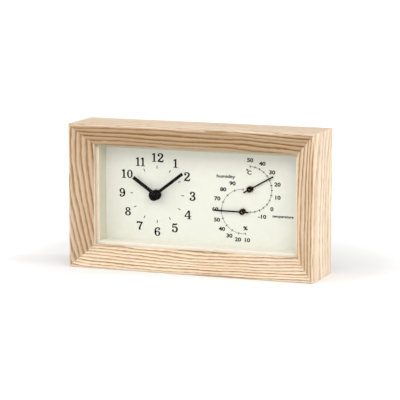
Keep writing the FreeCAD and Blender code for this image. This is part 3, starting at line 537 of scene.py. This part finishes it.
def dress_others():
    """Every other CAD node; gives back the materials by their short names."""
    materials = {
        # Walls greyer and front edges brighter: painted shade and painted light.
        "cream": spacer_card("cream_card", (0.62, 0.58, 0.47), (0.92, 0.79, 0.60)),
        # Painted shade: the top strip, in the lip's shade, is painted darker.
        "cream_top_painted_shade": spacer_card("cream_card_painted_shade", (0.64, 0.60, 0.49), (0.64, 0.59, 0.44)),
        # Painted light: the bottom strip, facing up to the lamps, is painted lighter.
        "cream_bottom_painted_light": spacer_card("cream_card_painted_light", (0.80, 0.77, 0.68), (0.93, 0.88, 0.76)),
        "dial": printed_dial("ivory_dial"),
        "black": moulded("black_lacquer", (0.004, 0.004, 0.004), 0.6, 0.2, 1500.0, 0.005 * MM, 0.02),
        "case": moulded("black_moulding", (0.020, 0.020, 0.022), 0.5, 0.15),
        "knob": moulded("grey_moulding", (0.085, 0.085, 0.09), 0.45, 0.1),
        "acetal": moulded("white_acetal", (0.86, 0.85, 0.80), 0.4, 0.02),
        "brass": metal("satin_brass", (0.83, 0.60, 0.24), 0.28),
        "steel": metal("turned_steel", (0.66, 0.66, 0.67), 0.25, (1, 12, 1)),
        "blued": metal("blued_steel", (0.22, 0.22, 0.23), 0.42, (1, 12, 1)),
        "plated": metal("nickel_strip", (0.70, 0.68, 0.62), 0.3, (1, 1, 8)),
        "magnet": metal("sintered_magnet", (0.16, 0.16, 0.17), 0.5),
        "bimetal": metal("bimetal_strip", (0.66, 0.52, 0.36), 0.3),
        "coated": metal("coated_strip", (0.60, 0.46, 0.24), 0.45),
        "glass": clear_glass("window_glass"),
        "cell": cell_sleeve("cell_wrap"),
        "board": hardboard("fibre_board"),
        "pine": pine("sawn_pine"),
        "foam": foam("black_foam"),
        "copper": wound_copper("copper_winding"),
        "circuit": circuit("green_circuit")}
    looks = {
        "glass": ["glass_pane"],
        "cream": ["spacer_left", "spacer_right"],
        "cream_bottom_painted_light": ["spacer_bottom"],
        "cream_top_painted_shade": ["spacer_top"],
        "dial": ["dial_plate"],
        "black": ["hour_hand", "minute_hand", "thermometer_pointer", "hygrometer_pointer"],
        "case": ["movement_front_case", "movement_rear_case"],
        "knob": ["setting_knob"],
        "acetal": ["train_rear_plate", "hour_wheel", "minute_wheel", "centre_wheel", "third_wheel",
                   "seconds_wheel", "fifth_wheel", "rotor_pinion"],
        "brass": ["thermometer_plate", "thermometer_bush", "thermometer_post", "hygrometer_plate",
                  "hygrometer_bush", "hygrometer_post", "back_panel_screws"],
        "steel": ["minute_arbor", "setting_arbor", "quartz_crystal"],
        "blued": ["thermometer_arbor", "hygrometer_arbor"],
        "plated": ["clutch_spring", "contact_positive", "contact_negative", "stator", "coil_core"],
        "magnet": ["rotor_magnet"],
        "bimetal": ["thermometer_coil"],
        "coated": ["hygrometer_coil"],
        "cell": ["aa_battery"],
        "board": ["back_panel"],
        "pine": ["corner_blocks"],
        "foam": ["movement_pad"],
        "copper": ["coil_winding"],
        "circuit": ["circuit_board"]}
    for look, nodes in looks.items():
        for node in nodes:
            dress(node, materials[look])
    for node, width in ARRISES.items():
        soften(node, width * MM)
    return materials


# ================================================================ flat printed shapes
ARC_STEPS = 90


def dial_point(centre, radius, angle):
    """(x, z) at a clockwise dial angle in degrees."""
    turn = math.radians(angle)
    return (centre[0] + radius * math.sin(turn), centre[2] + radius * math.cos(turn))


def ink(name, outlines):
    """One piece made of thin slabs; an outline is a list of (x, z), or a pair of equal rings."""
    shapes = bmesh.new()
    for outline in outlines:
        if isinstance(outline[0], list):
            add_ring(shapes, *outline)
        else:
            add_slab(shapes, outline)
    bmesh.ops.recalc_face_normals(shapes, faces=shapes.faces)
    return new_piece(name, shapes)


def add_slab(shapes, outline):
    """Filled outline."""
    near = [shapes.verts.new((x, PRINT_FRONT, z)) for x, z in outline]
    far = [shapes.verts.new((x, PRINT_BACK, z)) for x, z in outline]
    count = len(outline)
    shapes.faces.new(near)
    shapes.faces.new(far[::-1])
    for k in range(count):
        n = (k + 1) % count
        shapes.faces.new((near[k], far[k], far[n], near[n]))


def add_ring(shapes, outer, inner):
    """Closed band between two outlines with the same number of points."""
    sides = ((outer, PRINT_FRONT), (outer, PRINT_BACK), (inner, PRINT_BACK), (inner, PRINT_FRONT))
    layers = [[shapes.verts.new((x, y, z)) for x, z in side] for side, y in sides]
    count = len(outer)
    for k in range(count):
        n = (k + 1) % count
        for a, b in zip(layers, layers[1:] + layers[:1]):
            shapes.faces.new((a[k], b[k], b[n], a[n]))


def new_piece(name, shapes):
    """Turns built shapes into an object."""
    mesh = bpy.data.meshes.new(name)
    shapes.to_mesh(mesh)
    shapes.free()
    piece = bpy.data.objects.new(name, mesh)
    bpy.context.collection.objects.link(piece)
    return piece


def own(piece, material, body="case"):
    """Gives a printed piece its material and its place in the assembly."""
    piece.data.materials.append(material)
    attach(piece, body)


def tick(centre, angle, inner, outer, width):
    """Radial bar."""
    turn = math.radians(angle)
    along = Vector((math.sin(turn), math.cos(turn)))
    side = Vector((along.y, -along.x)) * width / 2
    middle = Vector((centre[0], centre[2]))
    corners = (middle + along * inner + side, middle + along * outer + side,
               middle + along * outer - side, middle + along * inner - side)
    return [tuple(corner) for corner in corners]


def arc_band(centre, radius, width, start, end):
    """Thin curved line from one dial angle to another."""
    angles = [start + (end - start) * k / ARC_STEPS for k in range(ARC_STEPS + 1)]
    outer = [dial_point(centre, radius + width / 2, angle) for angle in angles]
    inner = [dial_point(centre, radius - width / 2, angle) for angle in angles]
    return outer + inner[::-1]


# ================================================================ serif numerals
# A numeral is its width and its strokes, drawn 100 units high: ("pen", [(x, y, width), ...]) is a
# smooth stroke, ("bar", x0, y0, x1, y1) a box, ("ball", x, y, r) a dot and
# ("oval", x, y, rx, ry, side, cap) a loop with thick sides and thin caps.
NUMERALS = {
    "0": (70, [
        ("oval", 35, 50, 33, 50, 18, 9)]),
    "1": (46, [
        ("bar", 16, 2, 32, 100),
        ("bar", 1, 0, 47, 8),
        ("pen", [(1, 82, 9), (11, 87, 12), (24, 95, 13)])]),
    "2": (75, [
        ("ball", 19, 74, 9.9),
        ("pen", [(9, 76, 9), (17, 92, 9), (38, 97, 10), (58, 87, 15), (60, 71, 18), (48, 50, 15),
                 (21, 24, 11), (8, 6, 9)]),
        ("pen", [(7, 5, 12), (23, 11, 16), (46, 6, 16), (62, 8, 14), (68, 18, 9), (70, 27, 9)])]),
    "3": (75, [
        ("ball", 19, 79, 9.4),
        ("ball", 17, 22, 9.9),
        ("pen", [(11, 82, 9), (19, 94, 9), (36, 97, 10), (55, 88, 15), (56, 70, 17), (46, 57, 12),
                 (27, 53, 9)]),
        ("pen", [(27, 53, 9), (48, 50, 12), (60, 36, 17), (60, 18, 17), (44, 5, 12), (29, 2.5, 9),
                 (13, 9, 9), (8, 20, 9)])]),
    "4": (78, [
        ("bar", 47, 4, 63, 100),
        ("bar", 3, 26, 78, 35),
        ("bar", 32, 0, 78, 7),
        ("pen", [(48, 97, 11), (27, 64, 10), (5, 30, 10)])]),
    "5": (75, [
        ("ball", 17, 22, 9.9),
        ("pen", [(16, 97, 9), (15, 75, 9), (12, 50, 9)]),
        ("pen", [(16, 92, 14), (32, 90, 16), (51, 92, 15), (66, 99, 9)]),
        ("pen", [(13, 51, 9), (24, 59, 9), (42, 60, 13), (59, 48, 17), (62, 30, 18), (54, 10, 15),
                 (35, 2.5, 9), (15, 8, 9), (8, 20, 9)])]),
    "6": (75, [
        ("ball", 59, 80, 9.4),
        ("oval", 40, 31, 32, 31, 18, 9),
        ("pen", [(67, 83, 9), (59, 94, 9), (43, 97, 10), (25, 87, 14), (16, 68, 16), (16, 45, 17),
                 (17, 30, 16)])]),
    "7": (75, [
        ("pen", [(8, 100, 9), (8, 88, 9), (8, 77, 9)]),
        ("pen", [(11, 86, 10), (24, 92, 16), (43, 90, 16), (60, 89, 13), (71, 97, 9)]),
        ("pen", [(70, 97, 9), (59, 78, 11), (46, 54, 14), (38, 30, 17), (36, 2, 19)])]),
    "8": (75, [
        ("oval", 38, 75, 28, 25, 16, 9),
        ("oval", 38, 28, 34, 28, 18, 9)]),
}
UNITS_HIGH = 100
# Metres for one unit in a digit's mesh, which makes it 1 m high.
UNIT = 0.01
PEN_STEPS = 6
ROUND_STEPS = 28
# How far the ink runs out past each stroke, in the units above.
INK_SPREAD = 1.2
# A nine is a six turned half round and moved right by this.
NINE_SHIFT = 4
NUMERAL_STRETCH = 1.08
# Space between the two digits of an hour, as a part of their height.
NUMERAL_GAP = 0.12
NUMERAL_HEIGHT = 7.0 * MM
NUMERAL_RING = 30.5 * MM
HOUR_ANGLE = 30
# Hours set a little off their true places on the ring, (across, up) in mm.
HOUR_NUDGE = {1: (0.7, -0.6), 2: (-0.7, 0.3), 8: (0.9, 0.0), 10: (0.6, 0.1), 11: (0.8, -0.75),
              12: (0.75, -0.75)}


def smooth_stroke(points):
    """Outline of a stroke through (x, y, width) points, by a Catmull-Rom curve."""
    knots = [Vector(p) for p in points]
    knots = [2 * knots[0] - knots[1]] + knots + [2 * knots[-1] - knots[-2]]
    line = []
    for a, b, c, d in zip(knots, knots[1:], knots[2:], knots[3:]):
        for step in range(PEN_STEPS):
            t = step / PEN_STEPS
            line.append(0.5 * (2 * b + (c - a) * t + (2 * a - 5 * b + 4 * c - d) * t ** 2
                               + (3 * b - a - 3 * c + d) * t ** 3))
    line.append(knots[-2])
    left, right = [], []
    for k, here in enumerate(line):
        ahead = line[min(k + 1, len(line) - 1)] - line[max(k - 1, 0)]
        side = Vector((-ahead.y, ahead.x)).normalized() * here.z / 2
        left.append((here.x + side.x, here.y + side.y))
        right.append((here.x - side.x, here.y - side.y))
    return left + right[::-1]


def round_outline(x, y, rx, ry):
    """Points round an oval."""
    turns = [2 * math.pi * k / ROUND_STEPS for k in range(ROUND_STEPS)]
    return [(x + rx * math.cos(turn), y + ry * math.sin(turn)) for turn in turns]


def stroke_outline(stroke):
    """Outline of one stroke with its ink spread, or a pair of rings for a loop."""
    kind, *rest = stroke
    if kind == "pen":
        return smooth_stroke([(x, y, width + 2 * INK_SPREAD) for x, y, width in rest[0]])
    if kind == "bar":
        left, bottom, right, top = rest
        left -= INK_SPREAD
        right += INK_SPREAD
        return [(left, bottom), (right, bottom), (right, top), (left, top)]
    if kind == "ball":
        x, y, r = rest
        return round_outline(x, y, r + INK_SPREAD, r + INK_SPREAD)
    x, y, rx, ry, side, cap = rest
    inner = round_outline(x, y, rx - side - INK_SPREAD, ry - cap - INK_SPREAD)
    return [round_outline(x, y, rx, ry), inner]


def numeral_strokes(digit):
    """(width, strokes); a nine is a six turned half round."""
    if digit != "9":
        width, strokes = NUMERALS[digit]
        return width, [stroke_outline(stroke) for stroke in strokes]
    width, strokes = numeral_strokes("6")

    def turned(outline):
        if isinstance(outline[0], list):
            return [turned(ring) for ring in outline]
        return [(width + NINE_SHIFT - x, UNITS_HIGH - y) for x, y in outline]
    return width, [turned(outline) for outline in strokes]


def unit_high(outline):
    """The outline at a height of 1 m."""
    if isinstance(outline[0], list):
        return [unit_high(ring) for ring in outline]
    return [(x * UNIT, z * UNIT) for x, z in outline]


def unite(name, outlines):
    """Joins overlapping slabs into one clean solid."""
    parts = [ink(name + "_" + str(k), [outline]) for k, outline in enumerate(outlines)]
    whole = parts[0]
    for other in parts[1:]:
        modifier = whole.modifiers.new("join", "BOOLEAN")
        modifier.operation = "UNION"
        modifier.solver = "EXACT"
        modifier.object = other
    mesh = bpy.data.meshes.new_from_object(whole.evaluated_get(bpy.context.evaluated_depsgraph_get()))
    for part in parts:
        bpy.data.objects.remove(part)
    return mesh


def numeral_mesh(digit):
    """(width, mesh) of a digit 1 m high on the origin, its thickness as printed."""
    width, outlines = numeral_strokes(digit)
    return width / UNITS_HIGH, unite("digit_" + digit, [unit_high(outline) for outline in outlines])


def clock_numerals(material):
    """Twelve upright hour numerals, each centred on its place; each digit is built once."""
    made = {}
    whole = bmesh.new()
    for hour in range(1, 13):
        text = str(hour)
        for digit in text:
            if digit not in made:
                made[digit] = numeral_mesh(digit)
        total = sum(made[digit][0] * NUMERAL_STRETCH for digit in text) + NUMERAL_GAP * (len(text) - 1)
        cx, cz = dial_point(CLOCK, NUMERAL_RING, hour * HOUR_ANGLE)
        aside, up = HOUR_NUDGE.get(hour, (0.0, 0.0))
        x = cx + aside * MM - total * NUMERAL_HEIGHT / 2
        bottom = cz + up * MM - NUMERAL_HEIGHT / 2
        for digit in text:
            width, mesh = made[digit]
            before = len(whole.verts)
            whole.from_mesh(mesh)
            whole.verts.ensure_lookup_table()
            for vert in whole.verts[before:]:
                vert.co.x = x + vert.co.x * NUMERAL_STRETCH * NUMERAL_HEIGHT
                vert.co.z = bottom + vert.co.z * NUMERAL_HEIGHT
            x += (width * NUMERAL_STRETCH + NUMERAL_GAP) * NUMERAL_HEIGHT
    own(new_piece("clock_numerals", whole), material)


# ================================================================ dial print
# Inner end, outer end and width of the hour ticks.
CLOCK_TICK = (20.9 * MM, 23.2 * MM, 0.62 * MM)
THERMO_TOP = 50
THERMO_BOTTOM = -20
THERMO_SWEEP = 180.0
THERMO_RADIUS = 18.25 * MM
HYGRO_BOTTOM = 10
HYGRO_TOP = 100
# The dial angle at 60 %, the degrees for each per cent there, and how fast they grow.
HYGRO_SCALE = (60, 270.5, 2.14, 0.0033)
HYGRO_RADIUS = 17.8 * MM
SCALE_LINE = 0.22 * MM
# Half length and width of the long, middle and fine ticks, in mm.
LONG_TICK = (0.95, 0.6)
MIDDLE_TICK = (0.8, 0.55)
FINE_TICK = (0.4, 0.16)
LABEL_RADIUS = 23.5 * MM
LABEL_STEP = 10
# The rings of labels are centred a little off the hubs.
DEGREES_CENTRE = THERMO + Vector((0.0, 0.0, -0.35)) * MM
PERCENTS_CENTRE = HYGRO + Vector((0.35, 0.0, 0.4)) * MM
# Where the marks and words stand, (across, up) from the hub of their scale in mm.
LETTER_C = (-0.6, 13.2)
DEGREE_SIGN = (-2.4, 14.2)
PERCENT_SIGN = (2.5, -13.4)
TEMPERATURE_WORD = (27.6, -20.4)
HUMIDITY_WORD = (-14.3, 27.5)
# Letter size and added weight, and how much wider the letters are than the font's own.
LABEL_LOOK = (4.3 * MM, 0.16 * MM, 1.22)
TEMPERATURE_LOOK = (2.9 * MM, 0.09 * MM, 1.19)
HUMIDITY_LOOK = (3.4 * MM, 0.10 * MM, 1.32)


def beside(hub, offset):
    """(x, z) of a place that is given across and up from a hub, in mm."""
    return (hub[0] + offset[0] * MM, hub[2] + offset[1] * MM)


def clock_ticks(material):
    """One short bar at each hour."""
    outlines = [tick(CLOCK, hour * HOUR_ANGLE, *CLOCK_TICK) for hour in range(12)]
    own(ink("clock_ticks", outlines), material)


def thermo_angle(degrees_c):
    """Even steps, the hottest at twelve o'clock and the coldest at six."""
    return (THERMO_TOP - degrees_c) * THERMO_SWEEP / (THERMO_TOP - THERMO_BOTTOM)


def hygro_angle(percent):
    """The humidity scale opens out towards the wet end."""
    middle, angle, rate, growth = HYGRO_SCALE
    step = percent - middle
    return angle + rate * step + growth * step * step


def scale_ring(name, centre, radius, angle_of, low, high, major, minor, fine, material):
    """Curved line with long, middle and fine ticks across it."""
    outlines = [arc_band(centre, radius, SCALE_LINE, angle_of(low), angle_of(high))]
    for value in range(low, high + 1, fine):
        if value % major == 0:
            half, width = LONG_TICK
        elif value % minor == 0:
            half, width = MIDDLE_TICK
        else:
            half, width = FINE_TICK
        outlines.append(tick(centre, angle_of(value), radius - half * MM, radius + half * MM, width * MM))
    own(ink(name, outlines), material)


def text_mesh(text, size, weight):
    """A word in the built-in font, centred on the origin, flat in x and y."""
    curve = bpy.data.curves.new("lettering", "FONT")
    curve.body = text
    curve.size = size
    curve.align_x = "CENTER"
    curve.align_y = "CENTER"
    curve.offset = weight
    curve.extrude = PRINT_THICK / 2
    curve.resolution_u = 3
    source = bpy.data.objects.new("lettering", curve)
    bpy.context.collection.objects.link(source)
    mesh = bpy.data.meshes.new_from_object(source.evaluated_get(bpy.context.evaluated_depsgraph_get()))
    bpy.data.objects.remove(source)
    return mesh


def lettering(name, words, look, material):
    """words are (text, x, z); one piece holds them all, upright on the dial."""
    size, weight, stretch = look
    whole = bmesh.new()
    for text, x, z in words:
        before = len(whole.verts)
        whole.from_mesh(text_mesh(text, size, weight))
        whole.verts.ensure_lookup_table()
        for vert in whole.verts[before:]:
            across, up, out = vert.co
            vert.co = (x + across * stretch, PRINT_BACK - PRINT_THICK / 2 - out, z + up)
    bmesh.ops.remove_doubles(whole, verts=whole.verts, dist=1e-7)
    own(new_piece(name, whole), material)


def print_dial(material):
    """All that is printed on the dial card."""
    clock_numerals(material)
    clock_ticks(material)
    scale_ring("thermometer_scale", THERMO, THERMO_RADIUS, thermo_angle, THERMO_BOTTOM, THERMO_TOP,
               major=10, minor=5, fine=1, material=material)
    scale_ring("hygrometer_scale", HYGRO, HYGRO_RADIUS, hygro_angle, HYGRO_BOTTOM, HYGRO_TOP,
               major=10, minor=10, fine=2, material=material)
    degrees = [(str(value), *dial_point(DEGREES_CENTRE, LABEL_RADIUS, thermo_angle(value)))
               for value in range(THERMO_BOTTOM + LABEL_STEP, THERMO_TOP + 1, LABEL_STEP)]
    percents = [(str(value), *dial_point(PERCENTS_CENTRE, LABEL_RADIUS, hygro_angle(value)))
                for value in range(HYGRO_BOTTOM, HYGRO_TOP, LABEL_STEP)]
    degrees.append(("C", *beside(THERMO, LETTER_C)))
    degrees.append(("°", *beside(THERMO, DEGREE_SIGN)))
    percents.append(("%", *beside(HYGRO, PERCENT_SIGN)))
    lettering("thermometer_labels", degrees, LABEL_LOOK, material)
    lettering("hygrometer_labels", percents, LABEL_LOOK, material)
    warm = ("temperature", *beside(THERMO, TEMPERATURE_WORD))
    damp = ("humidity", *beside(HYGRO, HUMIDITY_WORD))
    lettering("temperature_word", [warm], TEMPERATURE_LOOK, material)
    lettering("humidity_word", [damp], HUMIDITY_LOOK, material)


# ================================================================ everything together
add_camera()
add_world()
add_floor()
for sun in SUNS:
    add_sun(*sun)
dress_frame()
print_dial(dress_others()["black"])
